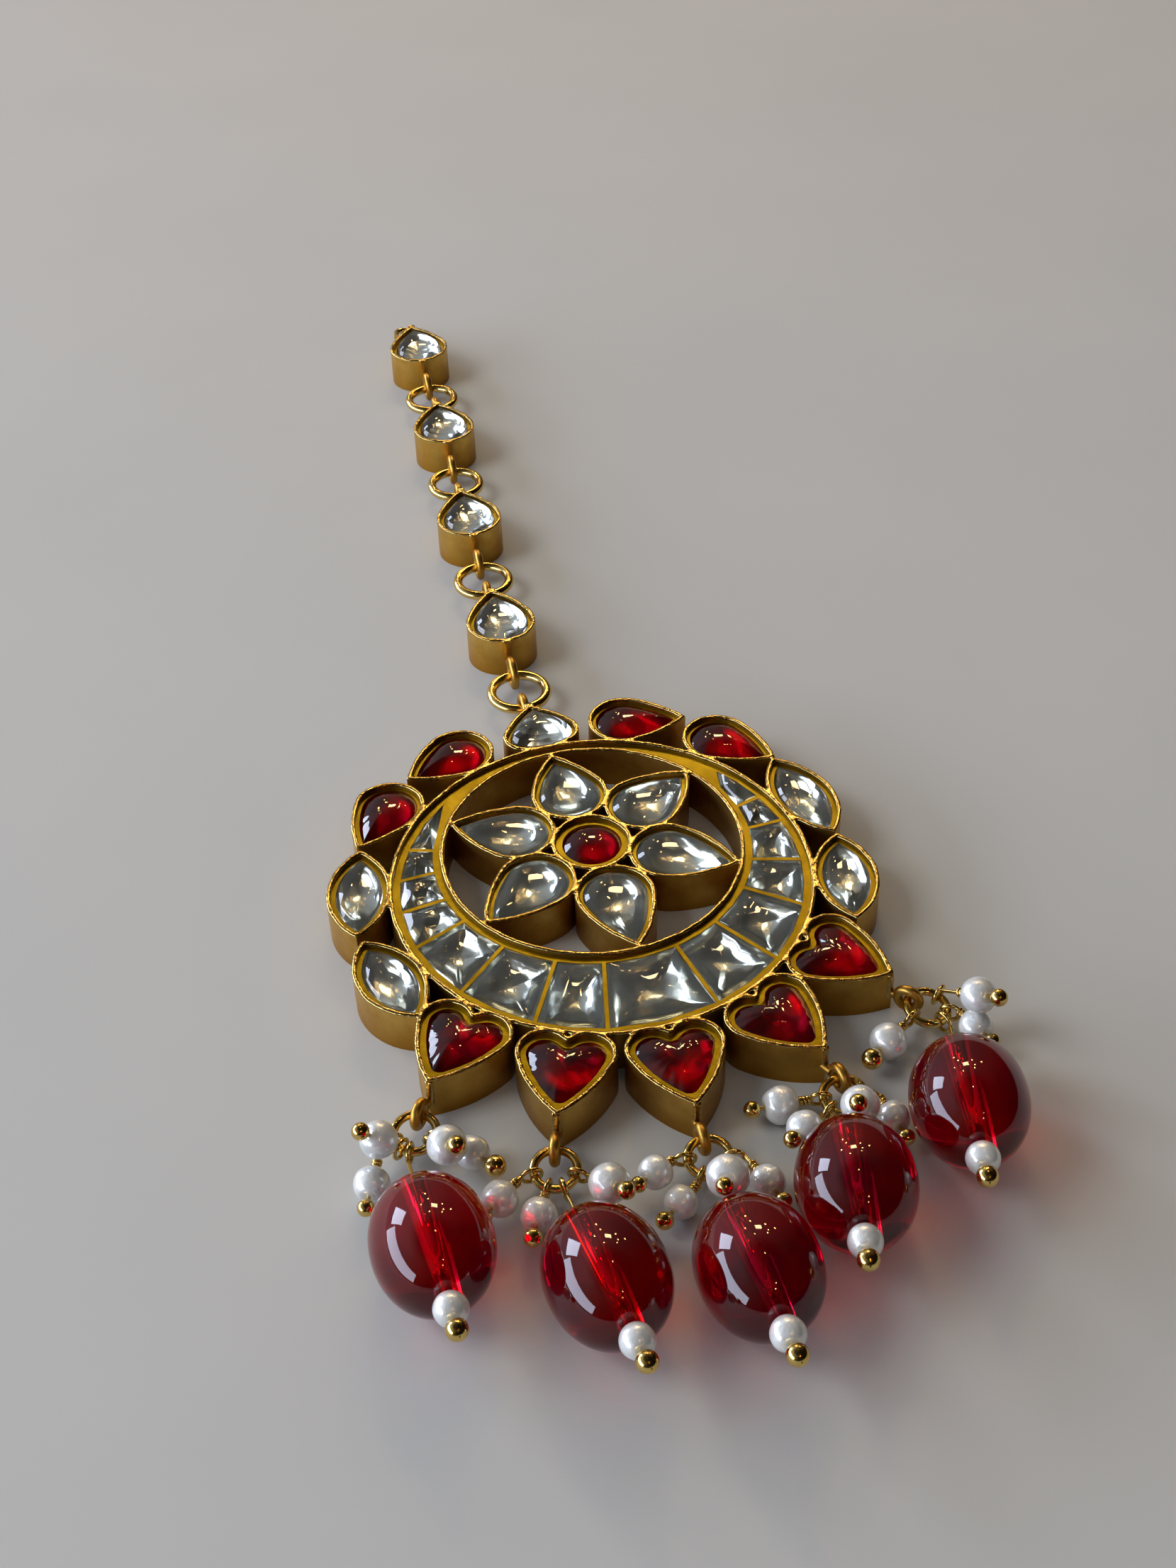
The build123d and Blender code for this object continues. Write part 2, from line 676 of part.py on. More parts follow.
def pin(loop_plane, start, shaft, length, ball_radius):
    """Head pin: closed loop, straight shaft and ball head."""
    side = shaft.cross(Vector(0, 0, 1)).normalized()
    profile_plane = Plane(origin=start, x_dir=shaft, z_dir=side)
    with BuildPart() as head_pin:
        with BuildSketch(profile_plane):
            with Locations((length, 0)):
                Circle(ball_radius)
            Rectangle(length, PIN_SHAFT, align=(Align.MIN, Align.CENTER))
            with Locations((length / 2, 0)):
                Rectangle(2 * length, 4 * ball_radius, align=(Align.CENTER, Align.MAX), mode=Mode.SUBTRACT)
        revolve(axis=Axis(start, shaft))
        with Locations(loop_plane):
            Torus(PIN_LOOP_RADIUS, PIN_WIRE / 2)
    return head_pin.part


def threaded_ball(centre, shaft, radius, hole):
    """Round pearl or seed, drilled along its pin."""
    side = shaft.cross(Vector(0, 0, 1)).normalized()
    with BuildPart() as ball:
        with BuildSketch(Plane(origin=centre, x_dir=shaft, z_dir=side)):
            Circle(radius)
            with Locations((0, hole / 2)):
                Rectangle(4 * radius, 4 * radius, align=(Align.CENTER, Align.MAX), mode=Mode.SUBTRACT)
        revolve(axis=Axis(centre, shaft))
    return ball.part


def drilled_bead(centre, shaft):
    """Oval bead, drilled from end to end along its pin."""
    side = shaft.cross(Vector(0, 0, 1)).normalized()
    half = BEAD_HALF_LENGTH
    with BuildPart() as bead:
        with BuildSketch(Plane(origin=centre, x_dir=shaft, z_dir=side)):
            Ellipse(half, BEAD_RADIUS)
            with Locations((0, BEAD_HOLE / 2)):
                Rectangle(4 * half, 4 * half, align=(Align.CENTER, Align.MAX), mode=Mode.SUBTRACT)
        revolve(axis=Axis(centre, shaft))
    return bead.part


for index in range(len(DROPS)):
    number = index + 1
    centre, away, across = ring_frame(index)
    with BuildPart() as drop_ring:
        with Locations(Plane(origin=centre, x_dir=away, z_dir=away.cross(across))):
            Torus(DROP_RING_RADIUS, DROP_RING_WIRE / 2)
    drop_ring.part.label = f"drop_ring_{number}"
    export_step(drop_ring.part, f"parts/drop_ring_{number}.step")

    place, azimuth, rise = DROPS[index][1:]
    loop_plane, start, shaft = pin_frame(index, place, azimuth, rise)
    reach = bead_reach(start, rise)
    bead_centre = start + shaft * reach
    drop_bead = drilled_bead(bead_centre, shaft)
    drop_bead.label = f"drop_bead_{number}"
    export_step(drop_bead, f"parts/drop_bead_{number}.step")

    seed_offset = BEAD_HALF_LENGTH + seated(SEED_RADIUS)
    ball_offset = seed_offset + SEED_RADIUS + BEAD_BALL_RADIUS + TOUCH
    small_offset = -BEAD_HALF_LENGTH - seated(SMALL_SEED_RADIUS)
    pins = [pin(loop_plane, start, shaft, reach + ball_offset, BEAD_BALL_RADIUS)]
    pearls = [
        threaded_ball(bead_centre + shaft * seed_offset, shaft, SEED_RADIUS, PEARL_HOLE),
        threaded_ball(bead_centre + shaft * small_offset, shaft, SMALL_SEED_RADIUS, PEARL_HOLE),
    ]
    for place, azimuth, rise, length, radius, ball_radius in PEARLS[index]:
        loop_plane, start, shaft = pin_frame(index, place, azimuth, rise)
        full_length = length + radius + ball_radius + TOUCH
        pins.append(pin(loop_plane, start, shaft, full_length, ball_radius))
        pearls.append(threaded_ball(start + shaft * length, shaft, radius, PEARL_HOLE))
    drop_pins = Compound(label=f"drop_pins_{number}", children=pins)
    export_step(drop_pins, f"parts/drop_pins_{number}.step")
    drop_pearls = Compound(label=f"drop_pearls_{number}", children=pearls)
    export_step(drop_pearls, f"parts/drop_pearls_{number}.step")
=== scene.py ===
from math import atan2, cos, exp, hypot, radians, sin, sqrt

import bmesh
import bpy
import numpy as np
from mathutils import Matrix, Vector, noise


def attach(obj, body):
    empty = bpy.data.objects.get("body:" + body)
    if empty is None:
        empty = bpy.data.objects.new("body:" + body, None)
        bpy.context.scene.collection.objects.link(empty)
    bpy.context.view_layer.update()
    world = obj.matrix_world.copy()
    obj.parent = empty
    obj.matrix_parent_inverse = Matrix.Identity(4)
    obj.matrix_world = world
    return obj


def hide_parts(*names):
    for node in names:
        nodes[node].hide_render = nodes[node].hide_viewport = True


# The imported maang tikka, in metres: +Y runs along the chain, and it lies on its back at Z = 0.
# Lengths below are written in millimetres times MM.
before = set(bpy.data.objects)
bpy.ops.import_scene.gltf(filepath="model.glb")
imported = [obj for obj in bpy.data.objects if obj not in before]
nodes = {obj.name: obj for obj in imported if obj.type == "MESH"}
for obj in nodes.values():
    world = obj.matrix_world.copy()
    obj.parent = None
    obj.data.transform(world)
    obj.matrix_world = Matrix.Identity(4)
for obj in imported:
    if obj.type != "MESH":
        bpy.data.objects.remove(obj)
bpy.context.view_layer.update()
MM = 0.001
bpy.ops.object.select_all(action="DESELECT")

# ---------------------------------------------------------------------------------------------
# Table top: a plain board, painted a matt pale grey, that the jewel lies on. It is flat and
# reaches far past the jewel on every side.


def linear(hex_colour):
    """An sRGB hex colour as linear RGBA."""
    channels = [int(hex_colour[i:i + 2], 16) / 255 for i in (1, 3, 5)]
    return tuple(c / 12.92 if c <= 0.04045 else ((c + 0.055) / 1.055) ** 2.4 for c in channels) + (1.0,)


def add_node(tree, kind, inputs=None, **settings):
    """Adds a node; inputs are values or sockets to link from, settings are the node's own options."""
    made = tree.nodes.new(kind)
    for name, value in settings.items():
        setattr(made, name, value)
    for name, value in (inputs or {}).items():
        if isinstance(value, bpy.types.NodeSocket):
            tree.links.new(value, made.inputs[name])
        else:
            made.inputs[name].default_value = value
    return made


def start_material(name):
    """A new material with an empty node tree, and its tree."""
    material = bpy.data.materials.new(name)
    material.use_nodes = True
    material.node_tree.nodes.clear()
    return material, material.node_tree


TABLE_SIZE = 3.0
MOTTLE_SIZE = 40 * MM

# Matt wall paint, rolled on: an even pale grey with a very slight mottle and hardly any shine.
table_paint, tree = start_material("matt_painted_board")
place = add_node(tree, "ShaderNodeTexCoord")
mottle = add_node(
    tree,
    "ShaderNodeTexNoise",
    {"Vector": place.outputs["Object"], "Scale": 1 / MOTTLE_SIZE, "Detail": 3.0, "Roughness": 0.55},
)
shade = add_node(
    tree,
    "ShaderNodeMix",
    {"Factor": mottle.outputs[0], "A": linear("#a9aaa8"), "B": linear("#b1b1ae")},
    data_type="RGBA",
)
surface = add_node(
    tree, "ShaderNodeBsdfPrincipled", {"Base Color": shade.outputs["Result"], "Roughness": 0.75}
)
add_node(tree, "ShaderNodeOutputMaterial", {"Surface": surface.outputs[0]})

bpy.ops.mesh.primitive_plane_add(size=TABLE_SIZE, location=(0, 0, 0))
table = bpy.context.object
table.name = "table"
table.data.materials.append(table_paint)

# ---------------------------------------------------------------------------------------------
# Camera: it looks down along the chain from beyond the drops, a hand's length from the jewel
# and a little to its left.

CAMERA_PLACE = Vector((-32.9, -151.3, 123.8)) * MM
CAMERA_FORWARD = Vector((0.19549, 0.73199, -0.65267))
CAMERA_UP = Vector((0.20212, 0.62115, 0.75718))
camera_data = bpy.data.cameras.new("camera")
camera_data.lens = 44.76
camera_data.sensor_width = 36.0
camera_data.clip_start = 10 * MM
camera = bpy.data.objects.new("camera", camera_data)
bpy.context.collection.objects.link(camera)
right = CAMERA_FORWARD.cross(CAMERA_UP).normalized()
up = right.cross(CAMERA_FORWARD).normalized()
facing = Matrix((right, up, -CAMERA_FORWARD.normalized())).transposed().to_4x4()
camera.matrix_world = Matrix.Translation(CAMERA_PLACE) @ facing
bpy.context.scene.camera = camera

# ---------------------------------------------------------------------------------------------
# Light: a wide window to the left of the table, with a far pane behind it, gives cool daylight.
# Small warm ceiling lamps and one lamp shade put points of light in the stones.


def area_light(name, place, target, size, power, colour):
    """A rectangular lamp that faces the target; place, target and size are in millimetres."""
    data = bpy.data.lights.new(name, "AREA")
    data.shape = "RECTANGLE"
    data.size, data.size_y = size[0] * MM, size[1] * MM
    data.energy = power
    data.color = linear(colour)[:3]
    lamp = bpy.data.objects.new(name, data)
    bpy.context.collection.objects.link(lamp)
    lamp.location = Vector(place) * MM
    lamp.rotation_euler = (Vector(target) * MM - lamp.location).to_track_quat("-Z", "Y").to_euler()
    return lamp


area_light("window", (-1400, 66, 328), (0, 0, 0), (2200, 503), 30.0, "#dbe6ff")
area_light("far_window_pane", (-940, 1225, 568), (0, 0, 0), (460, 547), 9.6, "#dbe6ff")
# Soft light from the sky, which polished surfaces don't mirror as a second window.
skylight = area_light("skylight", (-430, 20, 430), (0, -20, 0), (260, 260), 1.7, "#f1f3f5")
skylight.visible_glossy = False
area_light("lamp_shade", (130, 455, 420), (0, -20, 0), (90, 60), 0.4, "#ffe2a8")

CEILING_LAMP_SIZE = (16, 16)
CEILING_LAMP_POWER = 0.06
# x, y and z of each small ceiling lamp
CEILING_LAMPS = [
    (45, 90, 600),
    (25, -470, 390),
    (60, -400, 470),
    (60, 520, 330),
    (235, 430, 350),
    (250, 380, 420),
    (215, 330, 440),
    (30, 400, 500),
    (-60, 500, 400),
    (40, 560, 260),
    (330, 350, 330),
]
for number, lamp_place in enumerate(CEILING_LAMPS, start=1):
    area_light(
        f"ceiling_lamp_{number}",
        lamp_place,
        (0, 0, 0),
        CEILING_LAMP_SIZE,
        CEILING_LAMP_POWER,
        "#ffc878",
    )

# ---------------------------------------------------------------------------------------------
# The room that polished surfaces mirror: daylight on its walls at the back and left, dim warm
# walls in front and to the right, and a dark ceiling right above.

world = bpy.data.worlds.new("room")
bpy.context.scene.world = world
world.use_nodes = True
tree = world.node_tree
tree.nodes.clear()
direction = add_node(tree, "ShaderNodeTexCoord")
towards_day = add_node(
    tree,
    "ShaderNodeVectorMath",
    {0: direction.outputs["Generated"], 1: (-0.70, 0.60, 0.38)},
    operation="DOT_PRODUCT",
)
day_share = add_node(
    tree, "ShaderNodeMapRange", {"Value": towards_day.outputs["Value"], "From Min": -1.0}
)
walls = add_node(tree, "ShaderNodeValToRGB", {"Fac": day_share.outputs[0]})
# share of the way from the dim side to the daylight, and the colour there
ROOM = [(0.0, "#0c0a08"), (0.40, "#2a2119"), (0.62, "#6e665a"), (0.82, "#a8a59c"), (1.0, "#dfe8f4")]
ramp = walls.color_ramp.elements
for stop, (position, colour) in enumerate(ROOM):
    element = ramp[stop] if stop < 2 else ramp.new(position)
    element.position = position
    element.color = linear(colour)
upward = add_node(tree, "ShaderNodeSeparateXYZ", {"Vector": direction.outputs["Generated"]})
ceiling = add_node(
    tree,
    "ShaderNodeMapRange",
    {"Value": upward.outputs["Z"], "From Min": 0.70, "From Max": 0.88, "To Min": 0.6, "To Max": 0.08},
)
room_shine = add_node(
    tree, "ShaderNodeBackground", {"Color": walls.outputs["Color"], "Strength": ceiling.outputs[0]}
)
# Matt surfaces are lit by an even fill, which polished ones don't mirror.
fill = add_node(tree, "ShaderNodeBackground", {"Color": linear("#f0f1f4"), "Strength": 0.3})
ray = add_node(tree, "ShaderNodeLightPath")
shine = add_node(
    tree,
    "ShaderNodeMixShader",
    {0: ray.outputs["Is Diffuse Ray"], 1: room_shine.outputs[0], 2: fill.outputs[0]},
)
add_node(tree, "ShaderNodeOutputWorld", {"Surface": shine.outputs[0]})
bpy.context.scene.view_settings.view_transform = "Standard"

# ---------------------------------------------------------------------------------------------
# Pendant frame: strips of high-carat gold bent into bezels and soldered to two rings. The
# bezels are filled, and gold foil is pressed over the filling as a bed round the stones.

# heights above the table of the walls' top and of the bed
RIM = 4.2 * MM
BED = 3.9 * MM
BED_SLACK = 0.05 * MM
# A face whose normal points up by more than this is level.
FACES_UP = 0.9
# Tarnish lies in patches a few millimetres across, and the hammer left marks of about half one.
PATCH_SIZE = 2.5 * MM
BEATING_SIZE = 0.5 * MM


def gold_walls(name, rim):
    """Beaten high-carat sheet gold.

    The upright walls carry painted shade: they are browner and darker towards their foot. Their
    tone also varies in uneven patches of tarnish. The bed round the stones is greenish yellow foil,
    and small beating marks cover both.
    """
    material, tree = start_material(name)
    place = add_node(tree, "ShaderNodeTexCoord")
    height = add_node(tree, "ShaderNodeSeparateXYZ", {"Vector": place.outputs["Object"]})
    facing = add_node(tree, "ShaderNodeSeparateXYZ", {"Vector": place.outputs["Normal"]})
    patches = add_node(
        tree,
        "ShaderNodeTexNoise",
        {"Vector": place.outputs["Object"], "Scale": 1 / PATCH_SIZE, "Detail": 4.0, "Roughness": 0.55},
    )
    # Painted shade: the walls are coloured darker and browner the lower they stand, towards the table.
    shade_and_tarnish = add_node(
        tree,
        "ShaderNodeMapRange",
        {"Value": height.outputs["Z"], "From Min": 0.0, "From Max": rim, "To Min": 0.15, "To Max": 0.9},
    )
    shade_and_tarnish = add_node(
        tree, "ShaderNodeMath", {0: shade_and_tarnish.outputs[0], 1: patches.outputs[0]}, operation="MULTIPLY"
    )
    wall = add_node(
        tree,
        "ShaderNodeMix",
        {"Factor": shade_and_tarnish.outputs[0], "A": linear("#a06c14"), "B": linear("#f6d070")},
        data_type="RGBA",
    )
    level = add_node(
        tree, "ShaderNodeMath", {0: facing.outputs["Z"], 1: FACES_UP}, operation="GREATER_THAN"
    )
    raised = add_node(
        tree, "ShaderNodeMath", {0: height.outputs["Z"], 1: BED - BED_SLACK}, operation="GREATER_THAN"
    )
    on_bed = add_node(
        tree, "ShaderNodeMath", {0: level.outputs[0], 1: raised.outputs[0]}, operation="MULTIPLY"
    )
    foil = add_node(
        tree,
        "ShaderNodeMix",
        {"Factor": patches.outputs[0], "A": linear("#6b5700"), "B": linear("#a08c20")},
        data_type="RGBA",
    )
    colour = add_node(
        tree,
        "ShaderNodeMix",
        {"Factor": on_bed.outputs[0], "A": wall.outputs["Result"], "B": foil.outputs["Result"]},
        data_type="RGBA",
    )
    rough = add_node(
        tree,
        "ShaderNodeMapRange",
        {"Value": shade_and_tarnish.outputs[0], "From Min": 0.1, "From Max": 0.5, "To Min": 0.46, "To Max": 0.36},
    )
    beating = add_node(
        tree,
        "ShaderNodeTexNoise",
        {"Vector": place.outputs["Object"], "Scale": 1 / BEATING_SIZE, "Detail": 3.0, "Roughness": 0.55},
    )
    relief = add_node(
        tree,
        "ShaderNodeBump",
        {"Height": beating.outputs[0], "Strength": 0.35, "Distance": 0.08 * MM},
    )
    surface = add_node(
        tree,
        "ShaderNodeBsdfPrincipled",
        {
            "Base Color": colour.outputs["Result"],
            "Metallic": 1.0,
            "Roughness": rough.outputs[0],
            "Normal": relief.outputs[0],
        },
    )
    add_node(tree, "ShaderNodeOutputMaterial", {"Surface": surface.outputs[0]})
    return material


def paint(target, *materials):
    """Gives an object these materials in place of its own."""
    target.data.materials.clear()
    for material in materials:
        target.data.materials.append(material)


# Its walls get painted shade that deepens towards their foot.
sheet_gold = gold_walls("sheet_gold_painted_shade", RIM)
paint(nodes["pendant_frame"], sheet_gold)

# ---------------------------------------------------------------------------------------------
# Burnished lip: the top edge of every gold wall, rubbed over towards its stone with a steel
# burnisher to hold it. The rubbing left the edge bright, rounded and a little uneven.

DENT_SIZE = 0.35 * MM
# The lip is shaped at a thousand times its size, so these lengths are plain millimetres.
LIP_MERGE = 0.0005
LIP_LEVEL_SLACK = 0.01
LIP_VOXEL = 0.11
LIP_RISE = 0.15
LIP_DROP = 0.22
LIP_SWAY = 0.07
LIP_SWAY_WAVES = 0.5
LIP_ROUGHNESS = 0.035
LIP_ROUGH_WAVES = 2.1
LIP_UPRIGHT_SHARE = 0.8
# The unevenness is the same each time, here and on the straps further down.
UNEVENNESS_SEED = 7
noise.seed_set(UNEVENNESS_SEED)

# High-carat gold, burnished with a steel tool: a clean yellow shine, broken up by small dents. Its
# colour is darker in the dents and brighter on the rises between them: painted shade and painted glints.
burnished_gold, tree = start_material("burnished_gold_edge")
place = add_node(tree, "ShaderNodeTexCoord")
dents_and_glints = add_node(
    tree,
    "ShaderNodeTexNoise",
    {"Vector": place.outputs["Object"], "Scale": 1 / DENT_SIZE, "Detail": 2.0, "Roughness": 0.55},
)
# Painted shade in the dents and painted glints on the rises, from the same noise as the dents.
shade = add_node(
    tree,
    "ShaderNodeMix",
    {"Factor": dents_and_glints.outputs[0], "A": linear("#86692a"), "B": linear("#dfc27c")},
    data_type="RGBA",
)
relief = add_node(
    tree, "ShaderNodeBump", {"Height": dents_and_glints.outputs[0], "Strength": 0.5, "Distance": 0.1 * MM}
)
surface = add_node(
    tree,
    "ShaderNodeBsdfPrincipled",
    {
        "Base Color": shade.outputs["Result"],
        "Metallic": 1.0,
        "Roughness": 0.2,
        "Normal": relief.outputs[0],
    },
)
add_node(tree, "ShaderNodeOutputMaterial", {"Surface": surface.outputs[0]})


def activate(target):
    """Selects one object alone and makes it active."""
    bpy.ops.object.select_all(action="DESELECT")
    target.select_set(True)
    bpy.context.view_layer.objects.active = target


def apply_modifier(target, kind, **settings):
    """Adds a modifier to the object and applies it at once."""
    activate(target)
    added = target.modifiers.new(kind.lower(), kind)
    for name, value in settings.items():
        setattr(added, name, value)
    bpy.ops.object.modifier_apply(modifier=added.name)


def rubbed_lip(node_name, rim):
    """The rounded, uneven lip along the top of every wall of one node."""
    lip = bpy.data.objects.new(node_name + "_lip", nodes[node_name].data.copy())
    bpy.context.collection.objects.link(lip)
    lip.data.transform(Matrix.Scale(1 / MM, 4))
    activate(lip)
    bpy.ops.object.mode_set(mode="EDIT")
    mesh = bmesh.from_edit_mesh(lip.data)
    bmesh.ops.remove_doubles(mesh, verts=mesh.verts, dist=LIP_MERGE)
    lowest = rim / MM - LIP_LEVEL_SLACK
    lower = [f for f in mesh.faces if f.normal.z < FACES_UP or f.calc_center_median().z < lowest]
    bmesh.ops.delete(mesh, geom=lower, context="FACES")
    for vertex in mesh.verts:
        vertex.co.z -= LIP_DROP
    bmesh.update_edit_mesh(lip.data)
    bpy.ops.mesh.select_all(action="SELECT")
    bpy.ops.mesh.extrude_region_move(TRANSFORM_OT_translate={"value": (0, 0, LIP_RISE + LIP_DROP)})
    bpy.ops.mesh.select_all(action="SELECT")
    bpy.ops.mesh.normals_make_consistent(inside=False)
    bpy.ops.object.mode_set(mode="OBJECT")
    apply_modifier(lip, "REMESH", mode="VOXEL", voxel_size=LIP_VOXEL)
    for vertex in lip.data.vertices:
        place = vertex.co
        sway = noise.noise_vector(place * LIP_SWAY_WAVES) * LIP_SWAY
        wobble = sway + noise.noise_vector(place * LIP_ROUGH_WAVES) * LIP_ROUGHNESS
        vertex.co = place + Vector((wobble.x, wobble.y, LIP_UPRIGHT_SHARE * wobble.z))
    apply_modifier(lip, "SMOOTH", factor=0.5, iterations=2)
    lip.data.transform(Matrix.Scale(MM, 4))
    lip.data.polygons.foreach_set("use_smooth", [True] * len(lip.data.polygons))
    paint(lip, burnished_gold)
    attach(lip, "root")


rubbed_lip("pendant_frame", RIM)

# ---------------------------------------------------------------------------------------------
# Clear stones: ten in the pendant, its top pear and one in each chain link. They are colourless
# quartz with a polished low dome, and silver foil under each one throws the light back up.

# height at which every stone is widest
GIRDLE = 3.80 * MM
WELD = 0.0001 * MM
SAME_LEVEL = 0.00001 * MM
FOOT_SLACK = 0.01 * MM
CORNER_TURN = radians(28)
CLEAR_STEPS = 64
FOIL_CREASE_SIZE = 2.2 * MM
CHIP_WAVES = 1.7


def islands(node_name):
    """Vertices of each separate solid of a node, as arrays."""
    mesh = bmesh.new()
    mesh.from_mesh(nodes[node_name].data)
    bmesh.ops.remove_doubles(mesh, verts=mesh.verts, dist=WELD)
    mesh.verts.ensure_lookup_table()
    seen = set()
    found = []
    for vertex in mesh.verts:
        if vertex in seen:
            continue
        seen.add(vertex)
        stack = [vertex]
        group = []
        while stack:
            current = stack.pop()
            group.append(tuple(current.co))
            for edge in current.link_edges:
                other = edge.other_vert(current)
                if other not in seen:
                    seen.add(other)
                    stack.append(other)
        found.append(np.array(group))
    mesh.free()
    return found


def outline_of(points, steps, grow):
    """About steps points along the edge of a stone's foot, moved out by grow; and their middle.

    Sharp corners of the foot keep a point of their own.
    """
    foot = points[points[:, 2] < points[:, 2].min() + FOOT_SLACK][:, :2]
    foot = np.unique(np.round(foot, 7), axis=0)
    rough_middle = foot.mean(axis=0)
    angles = np.arctan2(foot[:, 1] - rough_middle[1], foot[:, 0] - rough_middle[0])
    edge = foot[np.argsort(angles)]
    following = np.roll(edge, -1, axis=0)
    ahead = following - edge
    behind = edge - np.roll(edge, 1, axis=0)
    weight = edge[:, 0] * following[:, 1] - following[:, 0] * edge[:, 1]
    middle = ((edge + following) * weight[:, None]).sum(axis=0) / (3 * weight.sum())
    turn = behind[:, 0] * ahead[:, 1] - behind[:, 1] * ahead[:, 0]
    turn = np.abs(np.arctan2(turn, (behind * ahead).sum(axis=1)))
    corners = np.flatnonzero(turn > CORNER_TURN)
    if not len(corners):
        corners = np.array([0])
    edge = np.roll(edge, -corners[0], axis=0)
    corners = corners - corners[0]
    closed = np.vstack([edge, edge[:1]])
    along = np.concatenate([[0], np.cumsum(np.linalg.norm(np.diff(closed, axis=0), axis=1))])
    stops = []
    for start, end in zip(corners, list(corners[1:]) + [len(edge)]):
        span = along[end] - along[start]
        count = max(2, round(steps * span / along[-1]))
        stops += list(along[start] + span * np.arange(count) / count)
    outline = np.column_stack([np.interp(stops, along, closed[:, axis]) for axis in (0, 1)])
    away = outline - middle
    away /= np.linalg.norm(away, axis=1)[:, None]
    return outline + grow * away, middle


def foiled_stone(name, points, steps, crown, pavilion, grow=0.0, chips=0.0, seed=0.0):
    """A stone with its foil: crown and pavilion are (scale, height) rows from the girdle.

    grow widens the outline a little, and chips is how far its edge is worn in and out.
    """
    outline, middle = outline_of(points, steps, grow)
    spot = Vector((middle[0], middle[1], GIRDLE))
    bpy.ops.mesh.primitive_circle_add(vertices=len(outline), radius=1.0 * MM, location=spot)
    stone = bpy.context.object
    stone.name = name
    bpy.ops.object.transform_apply(location=True, rotation=True, scale=True)
    for vertex, place in zip(stone.data.vertices, outline):
        away = Vector((place[0], place[1], GIRDLE)) - spot
        rough = chips * noise.noise(Vector((away.x / MM, away.y / MM, seed)) * CHIP_WAVES)
        vertex.co = spot + away + away.normalized() * rough
    for rows in (crown, pavilion):
        activate(stone)
        bpy.ops.object.mode_set(mode="EDIT")
        bpy.ops.mesh.select_all(action="DESELECT")
        mesh = bmesh.from_edit_mesh(stone.data)
        for edge in mesh.edges:
            if all(abs(v.co.z - GIRDLE) < SAME_LEVEL for v in edge.verts):
                edge.select_set(True)
        bmesh.update_edit_mesh(stone.data)
        scale, height = 1.0, GIRDLE
        for next_scale, next_height in rows:
            bpy.ops.mesh.extrude_edges_move(
                TRANSFORM_OT_translate={"value": (0, 0, next_height * MM - height)}
            )
            ratio = next_scale / scale
            bpy.ops.transform.resize(value=(ratio, ratio, 1), center_override=(spot.x, spot.y, 0))
            scale, height = next_scale, next_height * MM
        bpy.ops.mesh.merge(type="CENTER")
        bpy.ops.object.mode_set(mode="OBJECT")
    activate(stone)
    bpy.ops.object.mode_set(mode="EDIT")
    bpy.ops.mesh.select_all(action="SELECT")
    bpy.ops.mesh.normals_make_consistent(inside=False)
    bpy.ops.object.mode_set(mode="OBJECT")
    return stone


def smooth_by(stone, degrees):
    """Smooth shading that keeps edges sharper than this many degrees."""
    activate(stone)
    bpy.ops.object.shade_smooth_by_angle(angle=radians(degrees))


def foil_under(stone):
    """Uses the stone's second material below its girdle."""
    for face in stone.data.polygons:
        face.material_index = 1 if face.center.z < GIRDLE else 0


# Rock crystal, cut and polished: clear and glossy, with the faintest cold tint.
clear_quartz, tree = start_material("polished_clear_quartz")
surface = add_node(
    tree,
    "ShaderNodeBsdfPrincipled",
    {
        "Base Color": linear("#f6f9fb"),
        "Roughness": 0.03,
        "IOR": 1.55,
        "Transmission Weight": 1.0,
    },
)
add_node(tree, "ShaderNodeOutputMaterial", {"Surface": surface.outputs[0]})

# Silver foil, crumpled where it was pressed under the stone: bright, with broken reflections.
silver_foil, tree = start_material("crumpled_silver_foil")
place = add_node(tree, "ShaderNodeTexCoord")
creases = add_node(
    tree,
    "ShaderNodeTexNoise",
    {"Vector": place.outputs["Object"], "Scale": 1 / FOIL_CREASE_SIZE, "Detail": 1.0, "Roughness": 0.55},
)
relief = add_node(
    tree, "ShaderNodeBump", {"Height": creases.outputs[0], "Strength": 0.22, "Distance": 0.6 * MM}
)
surface = add_node(
    tree,
    "ShaderNodeBsdfPrincipled",
    {
        "Base Color": linear("#dde0d8"),
        "Metallic": 0.9,
        "Roughness": 0.15,
        "Normal": relief.outputs[0],
    },
)
add_node(tree, "ShaderNodeOutputMaterial", {"Surface": surface.outputs[0]})


def replace_with_stone(node_name, stone, top, foil):
    """Finishes a stone, and lets it stand for its node."""
    paint(stone, top, foil)
    foil_under(stone)
    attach(stone, "root")
    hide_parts(node_name)


# Scale, and height in millimetres, of each ring of the crown and of the foil beneath it. A
# bevel runs round the crown, and a low dome rises inside it.
DOME = [(0.975, 4.02), (0.82, 4.38), (0.67, 4.56), (0.49, 4.69), (0.30, 4.76), (0.14, 4.79)]
